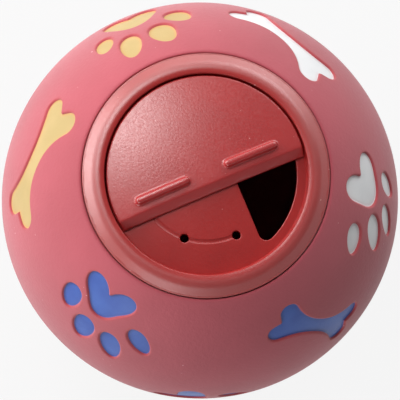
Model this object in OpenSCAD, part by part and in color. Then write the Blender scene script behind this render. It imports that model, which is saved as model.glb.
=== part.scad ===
// Treat dispensing ball: a hollow vinyl ball with sunk, painted paw prints and bones.
// A rigid cap is snapped into its mouth. The cap's floor has a port, and a D-shaped gate
// turns over the floor on a pivot and uncovers none, one, two, three or four eighths of a turn.
// Millimetres, +Z up through the cap, origin in the middle of the flat that the ball stands on.
// +X points from the pivot into the middle of the port. The gate is shown at two eighths.

/* [Ball] */
// Outside diameter of the vinyl ball
ball_d = 110; // [100:1:130]
// Thickness of the vinyl wall
ball_wall = 3.5; // [2.5:0.1:4.2]
// Radius of the small flat that the ball stands on
foot_r = 9; // [6:0.5:12]
// Thickness of the lip that the cap grips
lip_t = 3.2; // [2.4:0.1:4]

/* [Cap] */
// Outside diameter of the cap's ring
cap_d = 65.4; // [60:0.1:68]
// Gap between the ring and the vinyl round it
seam_gap = 0.25; // [0.1:0.05:0.5]
// Small chamfer on both sides of the seam
seam_chamfer = 0.4; // [0.2:0.05:0.7]
// Width of the ring from the seam to the well
ring_w = 5.8; // [5:0.1:7]
// Thickness of the ring where it rests on the lip
ring_t = 2.2; // [1.8:0.1:3]
// Height of the ring's inner edge above the seam
ring_rise = 2.1; // [1.8:0.1:3]
// Width of the straight slope next to the seam
ring_slope_w = 1.7; // [1:0.1:2.5]
// Radius of the ring's rolled inner edge
ring_roll = 0.4; // [0.3:0.05:0.8]
// Wall of the cap's neck
cap_wall = 2.3; // [1.8:0.1:3]
// Gap between the neck and the lip
neck_gap = 0.15; // [0.05:0.05:0.3]
// Reach of the snap flange under the lip
snap_w = 2.2; // [1.2:0.1:2.4]
// Thickness of the snap flange
snap_t = 2.2; // [1.6:0.1:3]
// Gap between the snap flange and the lip
snap_gap = 0.1; // [0.05:0.05:0.3]

/* [Floor] */
// Radius of the shallow crown that the floor and the gate share
crown_r = 150; // [120:5:300]
// Thickness of the floor
floor_t = 2; // [1.6:0.1:2.6]
// Width of the slope between the well's wall and the floor
cove_w = 0.5; // [0.3:0.1:1.5]
// Rim of floor left outside the port
port_rim = 2.4; // [1.2:0.1:3]
// Radius of the port's two corners
port_corner = 2.1; // [1:0.1:3]
// Distance from the hub to the port's straight edge
port_web = 2; // [1.2:0.1:3]
// Thickness of the stiffening webs under the floor
web_t = 1.4; // [1:0.1:2]
// Step from the hub's end up to the webs' lower edge
web_step = 0.5; // [0.2:0.1:1]

/* [Detents] */
// Number of positions that the gate clicks into
detent_count = 5; // [3:1:5]
// Angle between neighbouring positions
detent_step = 45; // [30:5:45]
// Angle from the gate's ribs to the detent that its nub is in, in degrees
detent_turn = 3.2; // [0:0.1:5]
// Radius of the circle that the detent holes lie on
detent_ring_r = 17.9; // [15:0.1:20]
// Diameter of a detent hole
detent_d = 2.3; // [1.8:0.1:3]
// Radius of the nub under the gate
nub_r = 0.7; // [0.5:0.05:0.85]
// Play between the nub and the track it runs in
nub_play = 0.08; // [0.04:0.01:0.15]
// Depth of the track that joins the detent holes
track_depth = 0.25; // [0.15:0.05:0.4]

/* [Gate] */
// Thickness of the gate
gate_t = 2.3; // [1.8:0.1:2.8]
// Gap between the gate's rim and the well
gate_gap = 0.5; // [0.3:0.05:0.9]
// Running gap between the gate and the floor
gate_lift = 0.25; // [0.15:0.05:0.4]
// Drop from the ring's inner edge to the gate's rim
gate_drop = 0; // [0:0.05:0.5]
// Height of the gate's upright rim
rim_land = 1.9; // [0.8:0.1:2.1]
// Chamfer round the top of the rim
rim_chamfer = 0.4; // [0.2:0.05:0.5]
// Distance from the pivot to the gate's straight edge
gate_edge = 5.4; // [4.6:0.1:5.4]
// Width of the slope along that edge
bevel_w = 2.3; // [1:0.1:3]
// Upright land below that slope
bevel_land = 0.6; // [0.3:0.1:1]
// Width of a finger rib
rib_w = 2.3; // [1.6:0.1:3]
// Height of a finger rib
rib_h = 1.7; // [1:0.1:2.2]
// Distance from the pivot to a rib's inner end
rib_start = 4.9; // [4:0.1:8]
// Length of a finger rib
rib_len = 15.4; // [10:0.1:16]

/* [Pivot] */
// Diameter of the gate's stem
stem_d = 5.2; // [4.4:0.1:5.6]
// Radial running clearance between the stem and the hub
stem_play = 0.06; // [0.02:0.01:0.1]
// Wall of the hub round the stem
hub_wall = 1.54; // [1.2:0.02:2]
// Length of the hub under the floor
hub_h = 3.5; // [2:0.1:5]
// End play between the washer and the hub
end_play = 0.2; // [0.1:0.05:0.4]
// Thickness of the washer
washer_t = 0.6; // [0.4:0.1:1]
// Diameter of the screw's thread
screw_d = 2.2; // [1.8:0.1:2.6]
// Length of the screw under its head
screw_len = 7; // [5:0.1:7.5]
// Diameter of the screw's head
head_d = 4.6; // [4:0.1:6]
// Height of the screw's head
head_h = 1.6; // [1.2:0.1:2.4]
// Slack between the screw and what it passes through
screw_play = 0.02; // [0.01:0.01:0.05]
// Slack between the screw and the washer
washer_play = 0.2; // [0.1:0.05:0.4]

/* [Motifs] */
// Depth of the sunk motifs
motif_depth = 0.9; // [0.5:0.1:1.2]
// Thickness of the paint on their floors
paint_t = 0.2; // [0.1:0.05:0.3]
// Distance from a paw's heel pad to its inner toes
paw_size = 10; // [7:0.1:11]
// Length of a bone
bone_len = 33.5; // [24:0.5:36]
// Width of a bone across its knuckles
bone_w = 14; // [12:0.5:16]
// Width of a bone's shaft
shaft_w = 5; // [4:0.1:6.5]
// Radius of a knuckle
knuckle_r = 3; // [2.4:0.1:3.5]
// Depth of the notch between two knuckles
notch = 2.3; // [1:0.1:3]

/* [Hidden] */
$fn = 96;
over = 1;

vinyl = [0.80, 0.42, 0.46];
cap_red = [0.74, 0.24, 0.25];
steel = [0.72, 0.73, 0.75];
yellow = [0.93, 0.81, 0.55];
white = [0.92, 0.92, 0.92];
blue = [0.36, 0.43, 0.70];

// Ball: heights here and below are measured from the ball's centre
ball_r = ball_d / 2;
centre_z = sqrt(ball_r * ball_r - foot_r * foot_r);
inner_r = ball_r - ball_wall;

// Cap
cap_r = cap_d / 2;
mouth_r = cap_r + seam_gap;
well_r = cap_r - ring_w;
neck_r = well_r + cap_wall;
lip_r = neck_r + neck_gap;
snap_r = lip_r + snap_w;
seam_z = sqrt(ball_r * ball_r - cap_r * cap_r);
lip_top = seam_z - ring_t;
lip_bottom = lip_top - lip_t;
snap_top = lip_bottom - snap_gap;
snap_bottom = snap_top - snap_t;
roll_centre = [well_r + ring_roll, seam_z + ring_rise - ring_roll];
ring_slope_angle = 38;
roll_start_angle = 102;

// Gate and floor: one centre of curvature on the axis serves both
gate_r = well_r - gate_gap;
gate_rim_z = roll_centre[1] - gate_drop;
under_r = crown_r + gate_lift;
top_r = under_r + gate_t;
crown_z = gate_rim_z - sqrt(top_r * top_r - gate_r * gate_r);
floor_r = well_r - cove_w;
cove_top_z = gate_rim_z - rim_land;
cove_foot_z = crown_z + sqrt(crown_r * crown_r - floor_r * floor_r);
stem_r = stem_d / 2;
bore_r = stem_r + stem_play;
hub_r = bore_r + hub_wall;
hub_bottom = crown_z + crown_r - floor_t - hub_h;
washer_top = hub_bottom - end_play;
washer_bottom = washer_top - washer_t;
screw_r = screw_d / 2;
port_r = floor_r - port_rim;
port_edge = hub_r + port_web;
corner_x = port_edge + port_corner;
corner_y = sqrt(pow(port_r - port_corner, 2) - corner_x * corner_x);
corner_angle = atan2(corner_y, corner_x);
track_r = nub_r + nub_play;
nub_centre_r = crown_r - track_depth + track_r;
detent_start = 180 + detent_turn - detent_step * (detent_count - 1) / 2;
detent_travel = detent_step * (detent_count - 1);

// Where the motifs lie: turn about the axis, angle down from the cap, turn in place and colour,
// then a bone's size as a share, or which of the three paws it is
bones = [
    [149.8, 57.6, -31, "yellow", 1.03], [38, 57, -27, "white", 0.98], [-74.1, 62.5, -52, "blue", 0.88],
    [178, 104, -28, "yellow", 0.98], [61, 102, -28, "white", 1], [-54, 104, 25, "blue", 0.95]];
paws = [
    [90, 59.5, 0, "yellow", 0], [-28.8, 57.2, 143, "white", 1], [-152, 55, 180, "blue", 2],
    [119, 99, 20, "yellow", 0], [3, 98, -15, "white", 2], [-112.8, 94, 225, "blue", 1],
    [30, 144, 190, "white", 2], [150, 144, 170, "yellow", 1], [-86, 144, 180, "blue", 0]];
// Toes of the three paws, in shares of the paw's size: place, length and width; then the lean
toe_shares = [
    [[-1.16, 0.16, 0.84, 0.66, 112], [-0.54, 0.96, 1.0, 0.68, 99], [0.4, 1.0, 1.06, 0.6, 82],
        [1.0, 0.26, 0.82, 0.5, 80]],
    [[-0.96, 0.28, 0.86, 0.5, 102], [-0.3, 0.97, 0.96, 0.5, 87], [0.48, 0.7, 1.04, 0.6, 77],
        [1.3, 0.16, 0.82, 0.52, 57]],
    [[-1.34, 0.15, 0.92, 0.52, 135], [-0.75, 0.97, 1.05, 0.6, 113], [0.13, 1.0, 1.0, 0.62, 90],
        [0.85, 0.27, 0.9, 0.56, 92]]];
// Heel pad in shares of the paw's size: middle below the tip, base, tip, lobe and notch
pad_shares = [[0.68, 0.6, 0.12, 0.26, 0.3], [0.6, 0.54, 0.1, 0.33, 0.3], [0.47, 0.48, 0.14, 0.4, 0.32]];
pad_steps = 30;
toe_steps = 16;
knuckle_steps = 8;
flare_steps = 5;
arc_steps = 28;
roll_steps = 8;

function arc(centre, r, from, to, steps) =
    [for (i = [0:steps]) centre + r * [cos(from + (to - from) * i / steps), sin(from + (to - from) * i / steps)]];
function mirrored(points) = [for (i = [len(points) - 1:-1:0]) [-points[i][0], points[i][1]]];
function lowered(points) = [for (i = [len(points) - 1:-1:0]) [points[i][0], -points[i][1]]];
function bend(from, by, to, share) =
    pow(1 - share, 2) * from + 2 * share * (1 - share) * by + share * share * to;
function bump(angle, at, spread) = exp(-pow((angle - at) / spread, 2));

// One quarter of a bone: the notch, a round knuckle and the flare down to the shaft
function bone_quarter() =
    let (centre = [bone_len / 2 - knuckle_r, bone_w / 2 - knuckle_r],
        knuckle = arc(centre, knuckle_r, -38, 122, knuckle_steps),
        last = knuckle[knuckle_steps],
        rise = last[1] - shaft_w / 2)
    concat([[bone_len / 2 - notch, 0]], knuckle,
        [for (i = [flare_steps - 1:-1:1]) let (share = i / flare_steps)
            [last[0] * share, shaft_w / 2 + rise * pow(share, 2.3)]],
        [[0, shaft_w / 2]]);

// Whole outline: the quarter, then its mirror images without the points that they share
function bone_outline() =
    let (quarter = bone_quarter(),
        upper = concat(quarter, [for (i = [1:len(quarter) - 1]) mirrored(quarter)[i]]),
        lower = lowered(upper))
    concat(upper, [for (i = [1:len(lower) - 2]) lower[i]]);

function pad_radius(angle, share) =
    share[1] + share[2] * bump(angle, 90, 40)
    + share[3] * (bump(angle, 215, 36) + bump(angle, 325, 36)) - share[4] * bump(angle, 270, 24);

function pad_outline(share) =
    [for (i = [0:pad_steps - 1]) let (angle = -45 + 360 * i / pad_steps, turn = angle < 0 ? angle + 360 : angle)
        paw_size * (pad_radius(turn, share) * [cos(angle), sin(angle)] - [0, share[0]])];

// Toe: an egg, a little broader at its inner end
function toe_outline(toe) =
    [for (i = [0:toe_steps - 1]) let (angle = 360 * i / toe_steps)
        paw_size / 2 * [toe[2] * cos(angle), toe[3] * sin(angle) * (1 - 0.16 * cos(angle))]];

module paw_shape(kind) {
    polygon(pad_outline(pad_shares[kind]));
    for (toe = toe_shares[kind])
        translate(paw_size * [toe[0], toe[1]]) rotate(toe[4]) polygon(toe_outline(toe));
}

module bone_shape(share) {
    polygon(share * bone_outline());
}

// Upright prism over a motif, deep enough to pass through the curved floor under all of it
module motif_prism() {
    low = ball_r - bone_len * bone_len / (4 * ball_r) - motif_depth - over;
    translate([0, 0, low]) linear_extrude(ball_r + over - low) children();
}

// Puts what is drawn round +Z at its place on the ball, with +Y towards the cap
module on_ball(place) {
    rotate([0, place[1], place[0]]) rotate([0, 0, 90 + place[2]]) children();
}

module motif_pocket() {
    difference() {
        motif_prism() children();
        sphere(ball_r - motif_depth);
    }
}

module motif_film() {
    intersection() {
        motif_prism() children();
        difference() {
            sphere(ball_r - motif_depth + paint_t);
            sphere(ball_r - motif_depth);
        }
    }
}

// Half section of the vinyl: wall, lip, seam chamfer and the flat foot
module ball_section() {
    difference() {
        intersection() {
            circle(ball_r);
            translate([0, -centre_z]) square([ball_d, ball_d + centre_z]);
        }
        difference() {
            circle(inner_r);
            translate([lip_r, lip_bottom]) square([ball_d, ball_d]);
        }
        translate([-over, lip_bottom - over]) square([lip_r + over, ball_d]);
        translate([-over, lip_top]) square([mouth_r + over, ball_d]);
        polygon([[mouth_r - over, seam_z - seam_chamfer - over], [mouth_r + seam_chamfer + over, seam_z + over],
            [mouth_r - over, seam_z + over]]);
    }
}

module ball_shell() {
    color(vinyl) translate([0, 0, centre_z]) difference() {
        rotate_extrude() ball_section();
        for (place = bones) on_ball(place) motif_pocket() bone_shape(place[4]);
        for (place = paws) on_ball(place) motif_pocket() paw_shape(place[4]);
    }
}

module bone_paint(name, tint) {
    color(tint) translate([0, 0, centre_z])
        for (place = bones) if (place[3] == name) on_ball(place) motif_film() bone_shape(place[4]);
}

module paw_paint(name, tint) {
    color(tint) translate([0, 0, centre_z])
        for (place = paws) if (place[3] == name) on_ball(place) motif_film() paw_shape(place[4]);
}

// Half section of the cap's ring, neck and snap flange, open where the floor joins it
module collar_section() {
    edge = [cap_r - seam_chamfer, seam_z];
    crest = roll_centre + ring_roll * [cos(roll_start_angle), sin(roll_start_angle)];
    fall = tan(ring_slope_angle);
    lean = tan(roll_start_angle - 90);
    knee = edge + ring_slope_w * [-1, fall];
    apex = knee + (crest[1] - knee[1] + lean * (knee[0] - crest[0])) / (fall + lean) * [-1, fall];
    polygon(concat(
        [[cap_r, lip_top], [cap_r, seam_z - seam_chamfer], edge],
        [for (i = [0:roll_steps - 1]) bend(knee, apex, crest, i / roll_steps)],
        arc(roll_centre, ring_roll, roll_start_angle, 180, roll_steps),
        [[well_r, cove_top_z], [floor_r, cove_foot_z], [floor_r, cove_foot_z - floor_t / 2],
            [well_r, cove_foot_z - floor_t / 2], [well_r, snap_bottom],
            [(snap_r + neck_r) / 2, snap_bottom], [snap_r, snap_bottom + snap_t * 2 / 3], [snap_r, snap_top],
            [neck_r, snap_top], [neck_r, lip_top]]));
}

// Crowned floor, cut off inside the wall of the neck
module floor_disc() {
    intersection() {
        translate([0, 0, crown_z]) difference() {
            sphere(crown_r);
            sphere(crown_r - floor_t);
        }
        translate([0, 0, snap_bottom]) cylinder(h = ball_r, r = well_r + cap_wall / 2);
    }
}

// Hub and the webs between the detent holes, which follow the underside of the floor
module floor_backing() {
    web_bottom = hub_bottom + web_step;
    intersection() {
        translate([0, 0, crown_z]) sphere(crown_r - floor_t / 2);
        union() {
            translate([0, 0, hub_bottom]) cylinder(h = ball_r, r = hub_r);
            for (i = [0:detent_count - 2])
                rotate(detent_start + detent_step * (i + 0.5))
                    translate([stem_r + hub_wall, -web_t / 2, web_bottom])
                        cube([well_r + cap_wall / 2 - stem_r - hub_wall, web_t, ball_r]);
        }
    }
}

module port_shape() {
    polygon(concat(
        arc([0, 0], port_r, -corner_angle, corner_angle, arc_steps),
        arc([corner_x, corner_y], port_corner, corner_angle + 3, 180, roll_steps),
        arc([corner_x, -corner_y], port_corner, 180, 357 - corner_angle, roll_steps)));
}

// Tilts +Z to the crown's normal at a distance from the axis, and moves out to a radius of the crown
module on_crown(distance, r) {
    translate([0, 0, crown_z]) rotate([0, asin(distance / crown_r), 0]) translate([0, 0, r]) children();
}

module cap_body() {
    color(cap_red) translate([0, 0, centre_z]) difference() {
        union() {
            rotate_extrude() collar_section();
            floor_disc();
            floor_backing();
        }
        translate([0, 0, snap_bottom]) cylinder(h = ball_r, r = bore_r);
        translate([0, 0, snap_bottom]) linear_extrude(ball_r) port_shape();
        for (i = [0:detent_count - 1])
            rotate(detent_start + detent_step * i)
                translate([detent_ring_r, 0, snap_bottom]) cylinder(h = ball_r, d = detent_d);
        translate([0, 0, crown_z]) rotate(detent_start) rotate_extrude(angle = detent_travel)
            translate([nub_centre_r * detent_ring_r / crown_r, nub_centre_r * cos(asin(detent_ring_r / crown_r))])
                circle(track_r);
    }
}

// Everything inside the gate's rim: an upright land over a slope that clears the cove
module rim_envelope() {
    high = gate_rim_z + gate_r;
    low_r = floor_r - gate_gap;
    rotate_extrude() polygon([[0, snap_bottom], [low_r, snap_bottom], [low_r, cove_foot_z], [gate_r, cove_top_z],
        [gate_r, gate_rim_z - rim_chamfer], [0, high - rim_chamfer]]);
}

// Everything on the gate's side of its straight edge: a land and a slope that follow the crown
module edge_envelope() {
    slope_share = bevel_w / (gate_t - bevel_land);
    foot = under_r + bevel_land;
    translate([0, 0, crown_z]) rotate([-90, 0, 0]) rotate_extrude()
        polygon([[crown_r - over, -gate_edge], [foot, -gate_edge],
            [top_r + over, -gate_edge + slope_share * (top_r + over - foot)], [top_r + over, gate_r + over],
            [crown_r - over, gate_r + over]]);
}

// Bar with round ends and a rounded back, standing on the gate's crown
module finger_rib() {
    back_r = rib_w * 2 / 3;
    half = rib_len / 2;
    run = half - rib_w / 2;
    sweep = concat([[0, -half - back_r + rib_w / 2]], arc([0, -run], back_r, -75, 0, roll_steps),
        arc([0, run], back_r, 0, 75, roll_steps), [[0, half + back_r - rib_w / 2]]);
    on_crown(rib_start + half, top_r) intersection() {
        translate([0, 0, -gate_t / 2]) linear_extrude(gate_t + rib_h)
            polygon(concat(arc([run, 0], rib_w / 2, -90, 90, roll_steps), arc([-run, 0], rib_w / 2, 90, 270, roll_steps)));
        union() {
            translate([0, 0, rib_h - back_r]) rotate([0, 90, 0]) rotate_extrude() polygon(sweep);
            translate([-rib_len, -rib_w, -gate_t]) cube([2 * rib_len, 2 * rib_w, gate_t + rib_h - back_r]);
        }
    }
}

module gate() {
    color(cap_red) translate([0, 0, centre_z]) difference() {
        union() {
            intersection() {
                translate([0, 0, crown_z]) difference() {
                    sphere(top_r);
                    sphere(under_r);
                }
                rim_envelope();
                edge_envelope();
            }
            for (side = [0, 180]) rotate(side) finger_rib();
            translate([0, 0, washer_top]) cylinder(h = crown_z + under_r + gate_t / 2 - washer_top, r = stem_r);
            rotate(180 + detent_turn) on_crown(detent_ring_r, nub_centre_r) sphere(nub_r);
        }
        translate([0, 0, washer_top - over])
            cylinder(h = screw_len - washer_t + over + screw_play, r = screw_r + screw_play);
    }
}

module pivot_washer() {
    color(steel) translate([0, 0, centre_z + washer_bottom]) difference() {
        cylinder(h = washer_t, r = hub_r);
        translate([0, 0, -over]) cylinder(h = washer_t + 2 * over, r = screw_r + washer_play);
    }
}

// Pan head with a cross slot, and the thread as its plain outer cylinder
module pivot_screw() {
    slot_w = screw_d / 3;
    color(steel) translate([0, 0, centre_z + washer_bottom]) difference() {
        union() {
            cylinder(h = screw_len, r = screw_r);
            translate([0, 0, -head_h]) cylinder(h = head_h / 2, r1 = head_d * 2 / 5, r2 = head_d / 2);
            translate([0, 0, -head_h / 2]) cylinder(h = head_h / 2, d = head_d);
        }
        for (turn = [0, 90])
            rotate(turn) translate([-head_d / 4, -slot_w / 2, -head_h - over]) cube([head_d / 2, slot_w, over + head_h / 2]);
    }
}

ball_shell();
paw_paint("yellow", yellow);  // yellow_paw_paint
bone_paint("yellow", yellow);  // yellow_bone_paint
paw_paint("white", white);  // white_paw_paint
bone_paint("white", white);  // white_bone_paint
paw_paint("blue", blue);  // blue_paw_paint
bone_paint("blue", blue);  // blue_bone_paint
cap_body();
gate();
pivot_washer();
pivot_screw();
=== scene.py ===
import bmesh
import bpy
import numpy as np
from mathutils import Matrix, Vector
from mathutils.geometry import delaunay_2d_cdt


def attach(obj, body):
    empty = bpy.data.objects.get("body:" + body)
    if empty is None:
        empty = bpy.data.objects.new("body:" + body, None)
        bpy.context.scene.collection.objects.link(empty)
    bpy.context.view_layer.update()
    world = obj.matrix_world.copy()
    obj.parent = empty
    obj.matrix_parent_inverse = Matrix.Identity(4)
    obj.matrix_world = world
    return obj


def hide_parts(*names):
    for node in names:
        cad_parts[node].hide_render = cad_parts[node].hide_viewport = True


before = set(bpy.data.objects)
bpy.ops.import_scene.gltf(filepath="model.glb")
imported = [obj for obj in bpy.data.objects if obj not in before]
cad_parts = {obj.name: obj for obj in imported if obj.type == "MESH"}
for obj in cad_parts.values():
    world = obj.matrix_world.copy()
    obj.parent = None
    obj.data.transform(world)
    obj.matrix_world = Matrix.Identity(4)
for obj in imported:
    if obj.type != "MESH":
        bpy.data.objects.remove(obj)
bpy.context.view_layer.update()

mm = 0.001

# The treat ball: a vinyl ball with sunk painted motifs, a cap snapped into its mouth, and a D-shaped gate
# that turns over the cap's floor. Sizes are in millimetres and heights are measured from the ball's middle,
# until a mesh is made: that lifts it by ballSizes["lift"] and turns it into metres.

ballSizes = {
    "radius": 55.0, "wall": 3.5, "footRadius": 9.0, "seamRadius": 32.7,
    "mouthRadius": 32.82, "mouthRound": 1.4,   # the vinyl's edge round the cap is rolled in
    "lipRadius": 29.35, "lipTop": 42.02, "lipThick": 3.2, "lipRound": 0.3,
    "fillSpacing": 1.6, "mouthGap": 0.7, "footGap": 0.5,   # both gaps are in shares of the spacing
    "turns": 288}
ballSizes["lift"] = (ballSizes["radius"] ** 2 - ballSizes["footRadius"] ** 2) ** 0.5
seamZ = (ballSizes["radius"] ** 2 - ballSizes["seamRadius"] ** 2) ** 0.5
latticeRow = 0.866   # height of a row in a triangular lattice, in shares of its spacing
sharpAngle = 38      # degrees between two faces from which their edge is drawn sharp


# Points on a circle: centre + radius (cos a, sin a), a from start to stop in degrees
def arcPoints(centre, radius, start, stop, count):
    angle = np.radians(np.linspace(start, stop, count))
    return np.asarray(centre) + radius * np.stack([np.cos(angle), np.sin(angle)], -1)


# The same closed outline with points at even steps along its length
def resampled(loop, spacing):
    closed = np.vstack([loop, loop[:1]])
    along = np.concatenate([[0], np.cumsum(np.linalg.norm(np.diff(closed, axis=0), axis=1))])
    count = max(12, round(along[-1] / spacing))
    at = np.linspace(0, along[-1], count, endpoint=False)
    return np.stack([np.interp(at, along, closed[:, 0]), np.interp(at, along, closed[:, 1])], -1)


# Unit normals of a closed anticlockwise outline: the chord between both neighbours, turned right
def outwardNormals(loop):
    chord = np.roll(loop, -1, 0) - np.roll(loop, 1, 0)
    normal = np.stack([chord[:, 1], -chord[:, 0]], -1)
    return normal / np.linalg.norm(normal, axis=1, keepdims=True)


# Distance from each point to the outline's nearest segment, negative inside (even-odd crossings)
def signedDistance(points, loop):
    start, stop = loop, np.roll(loop, -1, 0)
    run = stop - start
    away = points[:, None] - start[None]
    share = np.clip((away * run).sum(-1) / (run * run).sum(-1), 0, 1)
    nearest = np.sqrt(((away - share[..., None] * run) ** 2).sum(-1).min(1))
    crosses = (start[:, 1] > points[:, None, 1]) != (stop[:, 1] > points[:, None, 1])
    rise = np.where(run[:, 1] == 0, 1, run[:, 1])
    crossX = start[:, 0] + (points[:, None, 1] - start[:, 1]) / rise * run[:, 0]
    inside = (crosses & (points[:, None, 0] < crossX)).sum(1) % 2 == 1
    return np.where(inside, -nearest, nearest)


# Delaunay triangles of plane points. Each loop of indices keeps its neighbours joined
def triangulate(points, loops):
    edges = np.vstack([np.stack([loop, np.roll(loop, -1)], -1) for loop in loops]).tolist()
    spots, _, faces, source, _, _ = delaunay_2d_cdt(points.tolist(), edges, [], 0, 1e-9)
    origin = np.array([ids[0] if ids else -1 for ids in source])
    triangles = origin[np.array(faces)]
    return triangles[(triangles >= 0).all(1)]


# A profile of (r, z) points carried round the axis: (r cos a, r sin a, z)
def lathe(profile, turns, closed=True):
    angle = np.linspace(0, 2 * np.pi, turns, endpoint=False)[:, None]
    r, z = profile[:, 0][None], profile[:, 1][None]
    points = np.stack([r * np.cos(angle), r * np.sin(angle), z + 0 * angle], -1).reshape(-1, 3)
    count = len(profile)
    i, j = np.meshgrid(np.arange(turns), np.arange(count if closed else count - 1), indexing="ij")
    nextI, nextJ = (i + 1) % turns, (j + 1) % count
    quads = np.stack([i * count + j, nextI * count + j, nextI * count + nextJ, i * count + nextJ], -1)
    return points, quads.reshape(-1, 4)


# A closed profile of (r, z, radius) corners: each is cut back by its radius and bridged by a parabola
def rounded(corners, steps=5):
    spots = np.array(corners, float)[:, :2]
    cut = np.array(corners, float)[:, 2:3]
    before, after = np.roll(spots, 1, 0) - spots, np.roll(spots, -1, 0) - spots
    start = spots + cut * before / np.linalg.norm(before, axis=1, keepdims=True)
    stop = spots + cut * after / np.linalg.norm(after, axis=1, keepdims=True)
    share = np.linspace(0, 1, steps)[None, :, None]
    curve = (1 - share) ** 2 * start[:, None] + 2 * share * (1 - share) * spots[:, None]
    flat = (curve + share ** 2 * stop[:, None]).reshape(-1, 2)
    return flat[np.linalg.norm(flat - np.roll(flat, 1, 0), axis=1) > 1e-6]


# Quads between two closed loops of indices with as many points each
def strip(upper, lower):
    return np.stack([upper, lower, np.roll(lower, -1), np.roll(upper, -1)], -1)


# Points of a triangular lattice over a square of half width reach
def hexGrid(reach, spacing):
    steps = int(reach / spacing) + 2
    i, j = np.meshgrid(np.arange(-steps, steps + 1), np.arange(-steps, steps + 1))
    grid = np.stack([(i + 0.5 * (j % 2)) * spacing, j * spacing * latticeRow], -1).reshape(-1, 2)
    return grid[np.abs(grid).max(1) < reach]


# Smaller of two values, with the change between them rounded over about blend
def smoothMin(a, b, blend):
    return -blend * np.logaddexp(-a / blend, -b / blend)


# One object from parts of (points, faces) in millimetres, closed and turned outwards
def makePiece(name, parts, material, body, node, values=None):
    points, faces, offset = [], [], 0
    for spots, polygons in parts:
        points.append(spots)
        for group in (polygons if isinstance(polygons, list) else [polygons]):
            faces += (group + offset).tolist()
        offset += len(spots)
    spots = (np.vstack(points) + [0, 0, ballSizes["lift"]]) * mm
    mesh = bpy.data.meshes.new(name)
    mesh.from_pydata(spots.tolist(), [], faces)
    for label, numbers in (values or {}).items():
        mesh.attributes.new(label, "FLOAT", "POINT").data.foreach_set("value", numbers.astype(np.float32))
    work = bmesh.new()
    work.from_mesh(mesh)
    bmesh.ops.remove_doubles(work, verts=work.verts, dist=1e-7)
    bmesh.ops.dissolve_degenerate(work, dist=1e-8, edges=work.edges)
    bmesh.ops.recalc_face_normals(work, faces=work.faces)
    for face in work.faces:
        face.smooth = True
    work.to_mesh(mesh)
    work.free()
    mesh.set_sharp_from_angle(angle=np.radians(sharpAngle))
    mesh.materials.append(material)
    piece = bpy.data.objects.new(name, mesh)
    bpy.context.scene.collection.objects.link(piece)
    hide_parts(node)
    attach(piece, body)
    print(name, len(mesh.vertices), "points", sum(len(f.vertices) - 2 for f in mesh.polygons), "triangles")


noiseRange = {   # where the noises of every finish start and end, and how far the grain moves its roughness
    "clouds": (0.35, 0.65), "grain": (0.3, 0.7), "speckEdge": 0.02, "roughSpread": 0.05}


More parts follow.
